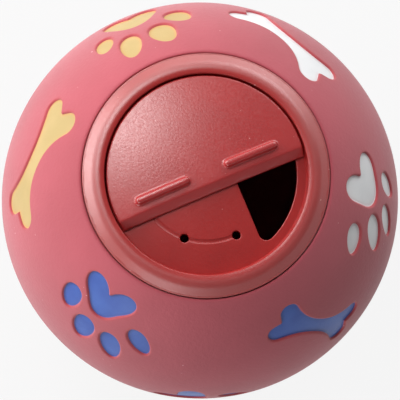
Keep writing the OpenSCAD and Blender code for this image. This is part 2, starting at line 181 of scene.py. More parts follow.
# Moulded surface on Object coordinates: cloudy colour, fine grain, dust specks, and relief from both. Where a
# rim attribute is given, the colour near the sunk edges turns to a shaded tone: painted shade of the sunk
# walls
def makeFinish(name, look):
    material = bpy.data.materials.new(name)
    material.use_nodes = True
    nodes, links = material.node_tree.nodes, material.node_tree.links
    shader = nodes["Principled BSDF"]
    place = nodes.new("ShaderNodeTexCoord")

    def noise(scale, detail=2.0, rough=0.5):
        node = nodes.new("ShaderNodeTexNoise")
        node.inputs["Scale"].default_value = scale
        node.inputs["Detail"].default_value = detail
        node.inputs["Roughness"].default_value = rough
        links.new(place.outputs["Object"], node.inputs["Vector"])
        return node.outputs["Fac"]

    def remap(value, low, high, toLow, toHigh):
        node = nodes.new("ShaderNodeMapRange")
        for socket, number in zip(("From Min", "From Max", "To Min", "To Max"), (low, high, toLow, toHigh)):
            node.inputs[socket].default_value = number
        links.new(value, node.inputs["Value"])
        return node.outputs["Result"]

    def mix(share, first, second):
        node = nodes.new("ShaderNodeMix")
        node.data_type = "RGBA"   # its colours are inputs 6 and 7 and output 2
        links.new(share, node.inputs["Factor"])
        for socket, colour in ((node.inputs[6], first), (node.inputs[7], second)):
            if isinstance(colour, tuple):
                socket.default_value = (*colour, 1)
            else:
                links.new(colour, socket)
        return node.outputs[2]

    clouds = noise(look["cloudScale"], 3.0)
    colour = mix(remap(clouds, *noiseRange["clouds"], 0, 1), look["dark"], look["light"])
    # painted shade: near the sunk edges, by the rim attribute, the colour turns to a deeper shaded tone
    if "edgeShadeColour" in look:
        rim = nodes.new("ShaderNodeAttribute")
        rim.attribute_name = "rim"
        colour = mix(remap(rim.outputs["Fac"], 0, 1, 0, look["edgeShadeShare"]), colour, look["edgeShadeColour"])
    specks = noise(look["speckScale"], 1.0)
    speckFull = look["speckFrom"] + noiseRange["speckEdge"]
    colour = mix(remap(specks, look["speckFrom"], speckFull, 0, look["speckShare"]), colour, look["speck"])
    links.new(colour, shader.inputs["Base Color"])
    grain = noise(look["grainScale"], 2.0, 0.6)
    spread = noiseRange["roughSpread"]
    rough = remap(grain, *noiseRange["grain"], look["roughness"] - spread, look["roughness"] + spread)
    shader.inputs["Specular IOR Level"].default_value = look["gloss"]
    if "frost" in look:   # a band of the mould that is etched: it is rougher, and hazier against the light
        frost = nodes.new("ShaderNodeAttribute")
        frost.attribute_name = "frost"
        total = nodes.new("ShaderNodeMath")
        links.new(rough, total.inputs[0])
        links.new(remap(frost.outputs["Fac"], 0, 1, 0, look["frost"]), total.inputs[1])
        rough = total.outputs[0]
        links.new(remap(frost.outputs["Fac"], 0, 1, look["gloss"], look["frostGloss"]),
                  shader.inputs["Specular IOR Level"])
    links.new(rough, shader.inputs["Roughness"])
    bump = nodes.new("ShaderNodeBump")
    bump.inputs["Strength"].default_value = look["bump"]
    bump.inputs["Distance"].default_value = look["bumpDepth"] * mm
    links.new(grain, bump.inputs["Height"])
    wave = nodes.new("ShaderNodeBump")
    wave.inputs["Strength"].default_value = look["wave"]
    wave.inputs["Distance"].default_value = look["waveDepth"] * mm
    links.new(clouds, wave.inputs["Height"])
    links.new(wave.outputs["Normal"], bump.inputs["Normal"])
    links.new(bump.outputs["Normal"], shader.inputs["Normal"])
    shader.inputs["IOR"].default_value = look.get("index", 1.5)
    shader.inputs["Sheen Weight"].default_value = look["sheen"]
    shader.inputs["Sheen Roughness"].default_value = look.get("sheenRoughness", 0.5)
    shader.inputs["Metallic"].default_value = look.get("metal", 0)
    return material


vinylLook = {
    "dark": (0.425, 0.046, 0.070), "light": (0.470, 0.055, 0.083), "cloudScale": 55,
    # painted shade of the sunk walls round the motifs: a deeper red near their edges
    "edgeShadeColour": (0.48, 0.030, 0.032), "edgeShadeShare": 0.55,
    "speck": (0.85, 0.6, 0.6), "speckScale": 900, "speckFrom": 0.80, "speckShare": 0.5,
    "grainScale": 1000, "roughness": 0.5, "bump": 0.5, "bumpDepth": 0.15,
    "wave": 0.12, "waveDepth": 0.4, "gloss": 0.07, "sheen": 0.26, "sheenRoughness": 0.8}
plasticLook = {
    "dark": (0.36, 0.0165, 0.0155), "light": (0.40, 0.0195, 0.0180), "cloudScale": 80,
    "speck": (0.8, 0.4, 0.38), "speckScale": 1100, "speckFrom": 0.79, "speckShare": 0.5,
    "grainScale": 1500, "roughness": 0.34, "bump": 0.36, "bumpDepth": 0.09,
    "wave": 0.06, "waveDepth": 0.3, "index": 1.7, "gloss": 0.42, "sheen": 0.0}
capLook = dict(plasticLook, frost=0.1, frostGloss=1.0)   # its ring has an etched band
# the gate's red is lighter than the cap's; the cap's darker red is painted shade of its sunk well
gateLook = dict(plasticLook, dark=(0.39, 0.0155, 0.0165), light=(0.43, 0.0185, 0.0195), gloss=0.7)
paintLooks = {
    "yellow": {"dark": (0.51, 0.375, 0.16), "light": (0.56, 0.41, 0.185), "gloss": 0.15},
    "white": {"dark": (0.80, 0.81, 0.82), "light": (0.85, 0.86, 0.87)},
    "blue": {"dark": (0.042, 0.10, 0.40), "light": (0.060, 0.14, 0.48)}}
paintBase = {
    "cloudScale": 120, "speck": (0.9, 0.9, 0.9), "speckScale": 1000, "speckFrom": 0.82, "speckShare": 0.3,
    "grainScale": 2200, "roughness": 0.45, "bump": 0.2, "bumpDepth": 0.06,
    # the share of the painted edge shade on the paint is set below
    "wave": 0.15, "waveDepth": 0.15, "gloss": 0.4, "sheen": 0.05, "edgeShadeShare": 0.5}
steelLook = {
    "dark": (0.52, 0.53, 0.55), "light": (0.62, 0.63, 0.65), "cloudScale": 300,
    "speck": (0.4, 0.4, 0.4), "speckScale": 2500, "speckFrom": 0.7, "speckShare": 0.3,
    "grainScale": 4000, "roughness": 0.32, "bump": 0.1, "bumpDepth": 0.03,
    "wave": 0.05, "waveDepth": 0.1, "gloss": 0.5, "sheen": 0, "metal": 1}
# painted shade along each paint's sunk edge: a deeper tone for each colour
edgeShadeColours = {"yellow": (0.72, 0.36, 0.14), "white": (0.62, 0.42, 0.45), "blue": (0.06, 0.06, 0.22)}

vinyl = makeFinish("softRedVinyl", vinylLook)
capPlastic = makeFinish("satinRedCap", capLook)
gatePlastic = makeFinish("satinRedGate", gateLook)
steel = makeFinish("platedSteel", steelLook)
paints = {tint: makeFinish(tint + "Paint", {**paintBase, **look, "edgeShadeColour": edgeShadeColours[tint]})
          for tint, look in paintLooks.items()}
print("finishes made")


photoView = {   # a camera model fitted to the round edges of the ball, the seam and the gate
    "tilt": 9.1, "lean": 76.2, "turn": 23.3,
    "distance": 825.0, "focal": 2965.0, "frame": 400, "sensor": 36.0, "centre": (199.9, 200.5),
    "clip": (0.05, 20)}


# World directions of the camera's right, up and back, from where +Z and +X point in the picture
def cameraAxes(look):
    tilt, lean, turn = np.radians([look["tilt"], look["lean"], look["turn"]])
    capAxis = np.array([np.sin(tilt) * np.cos(lean), np.sin(tilt) * np.sin(lean), np.cos(tilt)])
    across = np.array([np.cos(turn), np.sin(turn), 0])
    across -= capAxis * across.dot(capAxis)
    across /= np.linalg.norm(across)
    return np.stack([across, np.cross(capAxis, across), capAxis]).T


right, up, back = cameraAxes(photoView)
middle = np.array([0, 0, ballSizes["lift"]])
offset = (photoView["frame"] / 2 - np.array(photoView["centre"])) * [1, -1]
offset = offset * photoView["distance"] / photoView["focal"]
spot = middle + photoView["distance"] * back + offset[0] * right + offset[1] * up
cameraData = bpy.data.cameras.new("photoCamera")
cameraData.sensor_width = photoView["sensor"]
cameraData.lens = photoView["focal"] / photoView["frame"] * photoView["sensor"]
cameraData.clip_start, cameraData.clip_end = photoView["clip"]
camera = bpy.data.objects.new("photoCamera", cameraData)
camera.matrix_world = Matrix([*np.column_stack([right, up, back, spot * mm]).tolist(), [0, 0, 0, 1]])
bpy.context.scene.collection.objects.link(camera)
bpy.context.scene.camera = camera
print("camera set")


motifSizes = {
    # wallFade and the paint's fade: how far from an outline the painted edge shade reaches, on the vinyl and
    # on the paint
    "depth": 0.9, "wallAt": 0.08, "wallSpread": 0.125, "wallFade": 0.75,
    "paint": 0.17, "paintEdge": 0.015, "paintUnder": 0.03, "paintTaper": 0.3, "paintShadeFade": 0.55,
    "pawSize": 10.0, "toeEgg": 0.16,
    "boneLength": 33.5, "boneWidth": 14.0, "shaft": 5.0, "knuckle": 3.0, "notch": 2.3,
    "knuckleArc": (-38, 122), "flarePower": 2.3}
motifMesh = {   # rings of points follow each outline, and the even spread between them keeps clear of them
    "rings": (-1.0, -0.66, -0.42, -0.26, -0.12, 0, 0.1, 0.2, 0.3, 0.42, 0.6, 0.85, 1.2),
    "spacing": 0.55, "slack": 0.03, "slackShare": 0.06, "span": 23, "farAway": 9.0,
    "clearOutside": 1.6, "clearInside": 1.35}
# turn about the axis, angle down from the cap, turn in place, colour, then a bone's size share or a paw's kind
bonePlaces = [
    (149.8, 57.6, -31, "yellow", 1.03), (38, 57, -27, "white", 0.98), (-74.1, 62.5, -52, "blue", 0.88),
    (178, 104, -28, "yellow", 0.98), (61, 102, -28, "white", 1), (-54, 104, 25, "blue", 0.95)]
pawPlaces = [
    (90, 59.5, 0, "yellow", 0), (-28.8, 57.2, 143, "white", 1), (-152, 55, 180, "blue", 2),
    (119, 99, 20, "yellow", 0), (3, 98, -15, "white", 2), (-112.8, 94, 225, "blue", 1),
    (30, 144, 190, "white", 2), (150, 144, 170, "yellow", 1), (-86, 144, 180, "blue", 0)]
# toes: place, length, width in shares of the paw, and lean
toeShares = [
    [(-1.16, 0.16, 0.84, 0.66, 112), (-0.54, 0.96, 1.0, 0.68, 99),
     (0.4, 1.0, 1.06, 0.6, 82), (1.0, 0.26, 0.82, 0.5, 80)],
    [(-0.96, 0.28, 0.86, 0.5, 102), (-0.3, 0.97, 0.96, 0.5, 87),
     (0.48, 0.7, 1.04, 0.6, 77), (1.3, 0.16, 0.82, 0.52, 57)],
    [(-1.34, 0.15, 0.92, 0.52, 135), (-0.75, 0.97, 1.05, 0.6, 113),
     (0.13, 1.0, 1.0, 0.62, 90), (0.85, 0.27, 0.9, 0.56, 92)]]
# heel pad: middle below the tip, base, tip, lobe and notch
padShares = [(0.68, 0.6, 0.12, 0.26, 0.3), (0.6, 0.54, 0.1, 0.33, 0.3), (0.47, 0.48, 0.14, 0.4, 0.32)]
padBumps = {   # the angle each bump stands at, and its spread
    "tip": (90, 40), "leftLobe": (215, 36), "rightLobe": (325, 36), "notch": (270, 24)}


# Notch, round knuckle and a flare y = shaft/2 + rise s^flarePower down to the middle, mirrored three times
def boneOutline(share):
    size = motifSizes
    half, wide, knuckle = size["boneLength"] / 2, size["boneWidth"] / 2, size["knuckle"]
    lobe = arcPoints((half - knuckle, wide - knuckle), knuckle, *size["knuckleArc"], 24)
    along = np.linspace(1, 0, 16)[1:]
    rise = (lobe[-1, 1] - size["shaft"] / 2) * along ** size["flarePower"]
    flare = np.stack([lobe[-1, 0] * along, size["shaft"] / 2 + rise], -1)
    quarter = np.vstack([[[half - size["notch"], 0]], lobe, flare])
    upper = np.vstack([quarter, (quarter * [-1, 1])[-2::-1]])
    return share * np.vstack([upper, (upper * [1, -1])[-2:0:-1]])


# Radius as a sum of bumps exp(-((a - at) / spread)^2), with a - at taken the short way round the circle:
# a tip, two lobes and a notch between them
def padOutline(share):
    angle = np.arange(-45, 315, 3.0)
    bump = {name: np.exp(-(((angle - at + 180) % 360 - 180) / spread) ** 2)
            for name, (at, spread) in padBumps.items()}
    lobes = bump["leftLobe"] + bump["rightLobe"]
    radius = share[1] + share[2] * bump["tip"] + share[3] * lobes - share[4] * bump["notch"]
    a = np.radians(angle)
    return motifSizes["pawSize"] * (radius[:, None] * np.stack([np.cos(a), np.sin(a)], -1) - [0, share[0]])


# An egg: (l cos a, w sin a (1 - toeEgg cos a)) / 2, leant and moved to its place
def toeOutline(toe):
    a = np.radians(np.arange(0, 360, 6.0))
    egg = np.stack([toe[2] * np.cos(a), toe[3] * np.sin(a) * (1 - motifSizes["toeEgg"] * np.cos(a))], -1) / 2
    lean = np.radians(toe[4])
    turned = egg @ np.array([[np.cos(lean), np.sin(lean)], [-np.sin(lean), np.cos(lean)]])
    return motifSizes["pawSize"] * (turned + toe[:2])


# Rows: a motif's own right and up, which is towards the cap, and the ball's normal in its middle
def motifAxes(place):
    lon, polar, turn = np.radians(place[0]), np.radians(place[1]), np.radians(90 + place[2])
    south = np.array([np.cos(polar) * np.cos(lon), np.cos(polar) * np.sin(lon), -np.sin(polar)])
    east = np.array([-np.sin(lon), np.cos(lon), 0])
    normal = np.array([np.sin(polar) * np.cos(lon), np.sin(polar) * np.sin(lon), np.cos(polar)])
    across = np.cos(turn) * south + np.sin(turn) * east
    return np.stack([across, np.cos(turn) * east - np.sin(turn) * south, normal])


# How deep the surface lies at a distance from a motif's edge: a logistic step as deep as the motif
def sunk(distance):
    size = motifSizes
    return size["depth"] / (1 + np.exp((distance - size["wallAt"]) / size["wallSpread"]))


motifs = [dict(axes=motifAxes(p), tint=p[3], kind="Bone", loops=[boneOutline(p[4])]) for p in bonePlaces]
motifs += [dict(axes=motifAxes(p), tint=p[3], kind="Paw",
                loops=[padOutline(padShares[p[4]]), *[toeOutline(toe) for toe in toeShares[p[4]]]])
           for p in pawPlaces]
for motif in motifs:
    motif["loops"] = [resampled(loop, motifMesh["spacing"]) for loop in motif["loops"]]


# Signed distance from points in the motif's own plane to the nearest of its outlines
def motifDistance(motif, points):
    return np.min([signedDistance(points, loop) for loop in motif["loops"]], axis=0)


# Points of the motif's plane, carried straight up to the sphere that their depth gives
def onBall(motif, points, distance):
    r = ballSizes["radius"] - sunk(distance)
    flat = points @ motif["axes"][:2]
    return flat + np.sqrt(r ** 2 - (points ** 2).sum(1))[:, None] * motif["axes"][2]


# Directions for the whole outer surface: rings along every outline, with an even spread between them
def ballSurface():
    size, fine = ballSizes, motifMesh
    spots, distances, edgeLoops = [], [], []
    count = 0
    for motif in motifs:
        for loop in motif["loops"]:
            normal = outwardNormals(loop)
            for offset in fine["rings"]:
                ring = loop + offset * normal
                true = motifDistance(motif, ring) if offset else np.zeros(len(ring))
                kept = np.abs(true - offset) < fine["slack"] + fine["slackShare"] * abs(offset)
                if offset == 0:
                    edgeLoops.append(count + np.arange(len(ring)))
                spots.append(onBall(motif, ring[kept], true[kept]))
                distances.append(true[kept])
                count += kept.sum()
    total = int(4 * np.pi * size["radius"] ** 2 / (latticeRow * size["fillSpacing"] ** 2))
    k = np.arange(total) + 0.5   # an even spiral over the sphere, by the golden angle
    height, turn = 1 - 2 * k / total, np.pi * (1 + 5 ** 0.5) * k
    spread = np.sqrt(1 - height ** 2)
    fill = size["radius"] * np.stack([spread * np.cos(turn), spread * np.sin(turn), height], -1)
    fillDistance = np.full(total, fine["farAway"])
    for motif in motifs:
        local = fill @ motif["axes"].T
        near = (local[:, 2] > 0) & (np.hypot(local[:, 0], local[:, 1]) < fine["span"])
        found = motifDistance(motif, local[near, :2])
        fillDistance[near] = np.minimum(fillDistance[near], found)
    edgeAngle = np.arcsin((size["mouthRadius"] + size["mouthRound"]) / size["radius"])
    angle = np.arccos(fill[:, 2] / size["radius"])
    footAngle = np.pi - np.arcsin(size["footRadius"] / size["radius"])
    clear = angle > edgeAngle + size["mouthGap"] * size["fillSpacing"] / size["radius"]
    clear &= np.abs(angle - footAngle) > size["footGap"] * size["fillSpacing"] / size["radius"]
    clear &= (fillDistance > fine["clearOutside"]) | (fillDistance < -fine["clearInside"])
    around = np.linspace(0, 2 * np.pi, size["turns"], endpoint=False)
    circle = lambda a: size["radius"] * np.stack(
        [np.sin(a) * np.cos(around), np.sin(a) * np.sin(around), np.cos(a) + 0 * around], -1)
    spots += [fill[clear] * ((size["radius"] - sunk(fillDistance[clear])) / size["radius"])[:, None],
              circle(footAngle), circle(edgeAngle)]
    distances += [fillDistance[clear], np.full(2 * size["turns"], fine["farAway"])]
    spots, distances = np.vstack(spots), np.concatenate(distances)
    direction = spots / np.linalg.norm(spots, axis=1, keepdims=True)
    # seen from the cap's pole the sphere maps to a plane with its circles kept, so plane triangles suit it;
    # a hair over 1 keeps the pole itself finite
    plane = direction[:, :2] / (1.000001 - direction[:, 2:])
    rimLoop = len(spots) - size["turns"] + np.arange(size["turns"])
    triangles = triangulate(plane, edgeLoops + [rimLoop])
    spots[:, 2] = np.maximum(spots[:, 2], -size["lift"])
    return spots, distances, triangles, edgeLoops, rimLoop, edgeAngle


surface, edgeDistance, ballTriangles, paintLoops, rimLoop, edgeAngle = ballSurface()
print("ball surface", len(surface), "points")


# Profile from the rim of the outer surface: rolled edge, mouth, lip, and down the inner sphere
def ballInside():
    size = ballSizes
    outer, r = size["radius"], size["mouthRadius"]
    start = outer * np.array([np.sin(edgeAngle), np.cos(edgeAngle)])
    corner = np.array([r, np.sqrt(outer ** 2 - r ** 2)])
    low = corner - [0, size["mouthRound"]]
    share = np.linspace(0, 1, 9)[:, None]
    roll = (1 - share) ** 2 * start + 2 * share * (1 - share) * corner + share ** 2 * low
    inner = outer - size["wall"]
    lipBottom = size["lipTop"] - size["lipThick"]
    under = np.sqrt(inner ** 2 - lipBottom ** 2)
    shoulder = np.array([
        [r, size["lipTop"]], [size["lipRadius"] + size["lipRound"], size["lipTop"]],
        [size["lipRadius"], size["lipTop"] - size["lipRound"]],
        [size["lipRadius"], lipBottom], [under, lipBottom]])
    angle = np.linspace(np.arccos(lipBottom / inner), np.pi, 70)[1:]
    hollow = inner * np.stack([np.sin(angle), np.cos(angle)], -1)
    hollow[-1, 0] = 0
    return np.vstack([roll, shoulder, hollow])


insidePoints, insideQuads = lathe(ballInside(), ballSizes["turns"], closed=False)
# painted shade of the sunk walls: 1 at each motif's outline, fading outwards and inwards
rimShade = np.exp(-(edgeDistance / motifSizes["wallFade"]) ** 2)
rimShade = np.concatenate([rimShade, np.zeros(len(insidePoints))])
makePiece("ballVinyl", [(surface, ballTriangles), (insidePoints, insideQuads)], vinyl, "ball",
          "ball_shell", {"rim": rimShade})


# The surface inside each outline, lifted by a coat that thins out to nothing at the edge
def paintCoat(tint, kind):
    size = motifSizes
    centres = surface[ballTriangles].mean(1)
    inside = np.zeros(len(centres), bool)
    loops = []
    offset = 0
    for motif in motifs:
        local = centres @ motif["axes"].T
        near = np.nonzero((local[:, 2] > 0) & (np.hypot(local[:, 0], local[:, 1]) < motifMesh["span"]))[0]
        for loop in motif["loops"]:
            if motif["tint"] == tint and motif["kind"] == kind:
                inside[near] |= signedDistance(local[near, :2], loop) < 0
                loops.append(paintLoops[offset])
            offset += 1
    used = np.unique(ballTriangles[inside])
    place = np.full(len(surface), -1)
    place[used] = np.arange(len(used))
    triangles = place[ballTriangles[inside]]
    outward = surface[used] / np.linalg.norm(surface[used], axis=1, keepdims=True)
    taper = np.exp(np.minimum(edgeDistance[used], 0) / size["paintTaper"])
    thick = size["paintEdge"] + size["paint"] * (1 - taper)
    top = surface[used] + outward * thick[:, None]
    bottom = surface[used] - outward * size["paintUnder"]
    sides = [strip(place[loop], place[loop] + len(used)) for loop in loops]
    points = np.vstack([top, bottom])
    # painted shade along the paint's edge: 1 at the outline, fading inwards
    rim = np.exp(-(edgeDistance[used] / size["paintShadeFade"]) ** 2)
    return points, [triangles, triangles[:, ::-1] + len(used), *sides], np.concatenate([rim, rim])


for tint in ("yellow", "white", "blue"):
    for kind in ("Paw", "Bone"):
        points, faces, rim = paintCoat(tint, kind)
        makePiece(tint + kind + "Paint", [(points, faces)], paints[tint], "ball",
                  f"{tint}_{kind.lower()}_paint", {"rim": rim})


capSizes = {
    "radius": ballSizes["seamRadius"], "well": 26.9, "neck": 29.2, "snap": 31.55, "snapFoot": 30.37,
    "lipTop": ballSizes["lipTop"], "snapTop": 38.72, "snapBottom": 36.52, "snapLead": 1.4,
    "rise": 2.1, "slope": 38, "slopeWidth": 1.7, "roll": 0.4, "rollFrom": 102, "seamRound": 0.4,
    "etchFrom": 27.9, "etchBlend": 0.8, "etchDrop": 0.2,   # the ring's etched band starts at this radius
    "crown": 150.0, "floor": 2.0, "coveRadius": 26.4, "coveDrop": 1.9, "underCove": 0.12,
    "gateCrown": 152.55, "gateRadius": 26.4,
    "portRadius": 24.0, "portEdge": 6.5, "portCorner": 2.1, "edgeRound": 0.28,
    "holeRing": 17.9, "hole": 1.15, "detentTurn": 3.2, "trackRadius": 0.78, "trackDepth": 0.25,
    "bore": 2.66, "hub": 4.2, "hubLength": 3.5, "webThick": 1.4, "webStep": 0.5, "turns": 288}
rollMiddle = np.array([capSizes["well"] + capSizes["roll"], seamZ + capSizes["rise"] - capSizes["roll"]])
gateRimZ = rollMiddle[1]
# the gate's upper crown passes through its rim
crownZ = gateRimZ - np.sqrt(capSizes["gateCrown"] ** 2 - capSizes["gateRadius"] ** 2)
coveTopZ = gateRimZ - capSizes["coveDrop"]
hubTopZ = crownZ + capSizes["crown"] - capSizes["floor"]
hubBottomZ = hubTopZ - capSizes["hubLength"]


# Height of a sphere of that radius round the shared centre of the floor and the gate
def crownHeight(points, radius):
    return crownZ + np.sqrt(radius ** 2 - (points[:, :2] ** 2).sum(1))


# Drop of a rounded edge: radius - sqrt(radius^2 - (radius - distance)^2) inside the radius
def quarterRound(distance, radius):
    inside = np.clip(radius - distance, 0, radius)
    return radius - np.sqrt(radius ** 2 - inside ** 2)


# Ring: a straight slope from the seam, a parabola to the rolled inner edge, then the well, neck and snap
def ringProfile():
    size = capSizes
    start, fall = np.radians(size["rollFrom"]), np.tan(np.radians(size["slope"]))
    lean = np.tan(start - np.pi / 2)
    crest = rollMiddle + size["roll"] * np.array([np.cos(start), np.sin(start)])
    edge = np.array([size["radius"] - size["seamRound"], seamZ])
    knee = edge + size["slopeWidth"] * np.array([-1, fall])
    reach = (crest[1] - knee[1] + lean * (knee[0] - crest[0])) / (fall + lean)
    apex = knee + reach * np.array([-1, fall])   # where both tangents meet
    share = np.linspace(0, 1, 24)[:-1, None]
    top = (1 - share) ** 2 * knee + 2 * share * (1 - share) * apex + share ** 2 * crest
    slope = edge + np.linspace(0, 1, 6)[:-1, None] * (knee - edge)
    corner = np.array([size["radius"], seamZ + 0.05])
    low = np.array([size["radius"], seamZ - size["seamRound"]])
    s = np.linspace(0, 1, 6)[:-1, None]
    seam = (1 - s) ** 2 * low + 2 * s * (1 - s) * corner + s ** 2 * edge
    roll = arcPoints(rollMiddle, size["roll"], size["rollFrom"], 180, 20)
    coveFootZ = crownZ + np.sqrt(size["crown"] ** 2 - size["coveRadius"] ** 2)
    well, cove, snap, foot = size["well"], size["coveRadius"], size["snap"], size["snapBottom"]
    # the cove round the floor, the foot inside the slab, the neck's lower end, the snap flange, the groove
    # that holds the lip, and the ring's underside. The small steps of 0.02 to 0.35 soften corners
    rest = np.array([
        [well, coveTopZ + 0.25], [well - 0.1, coveTopZ], [cove, coveFootZ + 0.02],
        [cove - 0.25, coveFootZ - 0.35], [cove - 0.1, coveFootZ - 1.7], [well, coveFootZ - 2.4],
        [well, foot + 0.3], [well + 0.3, foot], [size["snapFoot"], foot],
        [snap, foot + size["snapLead"]], [snap, size["snapTop"] - 0.25], [snap - 0.25, size["snapTop"]],
        [size["neck"], size["snapTop"]], [size["neck"], size["lipTop"]],
        [size["radius"] - 0.2, size["lipTop"]], [size["radius"], size["lipTop"] + 0.2]])
    return np.vstack([seam, slope, top, roll, rest])


# D-shaped opening: an arc, and two round corners where it meets the straight edge
def portOutline():
    size = capSizes
    cornerX = size["portEdge"] + size["portCorner"]
    cornerY = np.sqrt((size["portRadius"] - size["portCorner"]) ** 2 - cornerX ** 2)
    angle = np.degrees(np.arctan2(cornerY, cornerX))
    return np.vstack([
        arcPoints((0, 0), size["portRadius"], -angle, angle, 90),
        arcPoints((cornerX, cornerY), size["portCorner"], angle, 180, 16)[1:],
        arcPoints((cornerX, -cornerY), size["portCorner"], 180, 360 - angle, 16)[:-1]])


floorMesh = {
    "portSpacing": 0.5, "trackSteps": 141,
    "trackRows": (-0.75, -0.6, -0.5, -0.36, -0.2, 0, 0.2, 0.36, 0.5, 0.6, 0.75),
    "gridReach": 26, "gridSpacing": 1.4, "gridFrom": 3.4, "gridTo": 25.7, "edgeGap": 0.7, "trackGap": 1.1}


# Crowned slab as one height over the plane, with the port, five holes and the track cut into it
def capFloor():
    size, fine = capSizes, floorMesh
    port = resampled(portOutline(), fine["portSpacing"])
    holeAngles = np.radians(np.arange(90, 271, 45) + size["detentTurn"])
    holeMiddles = size["holeRing"] * np.stack([np.cos(holeAngles), np.sin(holeAngles)], -1)
    outer = arcPoints((0, 0), size["coveRadius"] + size["underCove"], 0, 360, 241)[:-1]
    hub = arcPoints((0, 0), size["bore"], 0, 360, 49)[:-1]
    rounding = size["edgeRound"] * (1 - np.sin(np.radians([0, 15, 30, 50, 70, 90])))[::-1]
    loops, extra = [outer, hub, port], []
    for step in rounding[1:]:
        extra.append(port + step * outwardNormals(port))
    for middle in holeMiddles:
        for step in rounding:
            circle = arcPoints(middle, size["hole"] + step, 0, 360, 41)[:-1]
            (loops if step == rounding[0] else extra).append(circle)
    trackSpan = 90 + size["detentTurn"], 270 + size["detentTurn"]
    for offset in fine["trackRows"]:
        extra.append(arcPoints((0, 0), size["holeRing"] + offset, *trackSpan, fine["trackSteps"]))
    grid = hexGrid(fine["gridReach"], fine["gridSpacing"])
    loose = np.vstack([*extra, grid])

    def clearances(points):
        holes = np.min([np.linalg.norm(points - m, axis=1) for m in holeMiddles], axis=0) - size["hole"]
        return signedDistance(points, port), holes

    def trackDistance(points):
        along = np.degrees(np.arctan2(points[:, 1], points[:, 0])) % 360 - size["detentTurn"]
        away = np.abs(np.hypot(*points.T) - size["holeRing"])
        return np.where((along > 90) & (along < 270), away, motifMesh["farAway"])

    fromPort, fromHole = clearances(loose)
    fromEdges = np.minimum(fromPort, fromHole)
    order = np.arange(len(loose))
    gridStart = len(loose) - len(grid)   # the track's rows come just before the grid
    isGrid = order >= gridStart
    isTrack = ~isGrid & (order >= gridStart - len(fine["trackRows"]) * fine["trackSteps"])
    radius = np.hypot(*loose.T)
    roomy = (fromEdges > fine["edgeGap"]) & (trackDistance(loose) > fine["trackGap"])
    keep = (fromEdges > 0.005) & (radius < size["coveRadius"] - 0.05) & (radius > size["bore"] + 0.1)
    keep &= ~isGrid | (roomy & (radius < fine["gridTo"]) & (radius > fine["gridFrom"]))
    keep &= ~isTrack | (fromHole > size["edgeRound"] + 0.1)
    points = np.vstack([*loops, loose[keep]])
    starts = np.cumsum([0] + [len(loop) for loop in loops])
    indices = [np.arange(a, b) for a, b in zip(starts[:-1], starts[1:])]
    triangles = triangulate(points, indices)
    centre = points[triangles].mean(1)
    fromPort, fromHole = clearances(centre)
    triangles = triangles[(fromPort > 0) & (fromHole > 0) & (np.hypot(*centre.T) > size["bore"] * 0.999)]
    fromPort, fromHole = clearances(points)
    drop = quarterRound(np.minimum(fromPort, fromHole), size["edgeRound"])
    across = trackDistance(points)
    groove = np.sqrt(np.maximum(size["trackRadius"] ** 2 - across ** 2, 0))
    groove = groove - (size["trackRadius"] - size["trackDepth"])
    drop += smoothMin(groove, np.full(len(groove), size["trackDepth"]), 0.01).clip(0) * (fromHole > 0.05)
    top = np.column_stack([points, crownHeight(points, size["crown"]) - drop])
    under = np.column_stack([points, crownHeight(points, size["crown"] - size["floor"])])
    count = len(points)
    sides = [strip(loop, loop + count) for loop in indices]
    return np.vstack([top, under]), [triangles, triangles[:, ::-1] + count, *sides]


# A rounded bar under the floor, from the hub to the neck: a profile carried outwards under the crown
def stiffeningWeb(angle):
    size = capSizes
    out = np.linspace(size["hub"] - 0.4, size["well"] + 0.6, 16)
    half, low = size["webThick"] / 2, hubBottomZ + size["webStep"]
    section = rounded([(-half, 0, 0.05), (-half, 1, 0.05), (half, 1, 0.05), (half, 0, 0.05)], 3)
    heights = crownZ + np.sqrt((size["crown"] - size["floor"] + 0.3) ** 2 - out ** 2)
    x = np.repeat(out, len(section))
    y = np.tile(section[:, 0], len(out))
    z = low + np.tile(section[:, 1], len(out)) * (np.repeat(heights, len(section)) - low)
    turn = np.radians(angle)
    points = np.stack([x * np.cos(turn) - y * np.sin(turn), x * np.sin(turn) + y * np.cos(turn), z], -1)
    rings = np.arange(len(points)).reshape(len(out), -1)
    quads = np.vstack([strip(a, b) for a, b in zip(rings[:-1], rings[1:])])
    ends = [rings[0][None], rings[-1][::-1][None]]
    return points, [quads, *ends]


hubProfile = rounded([(capSizes["bore"], hubBottomZ, 0.2), (capSizes["hub"], hubBottomZ, 0.3),
                      (capSizes["hub"] + 0.25, hubTopZ + 0.3, 0.05), (capSizes["bore"], hubTopZ + 0.3, 0.05)])
capParts = [lathe(ringProfile(), capSizes["turns"]), capFloor(), lathe(hubProfile, 72),
            *[stiffeningWeb(90 + capSizes["detentTurn"] + 45 * (i + 0.5)) for i in range(4)]]
capPoints = np.vstack([part[0] for part in capParts])
pastEdge = (np.hypot(capPoints[:, 0], capPoints[:, 1]) - capSizes["etchFrom"]) / capSizes["etchBlend"]
etched = np.where(capPoints[:, 2] > seamZ - capSizes["etchDrop"], pastEdge, 0).clip(0, 1)
makePiece("capMoulding", capParts, capPlastic, "ball", "cap_body", {"frost": etched})


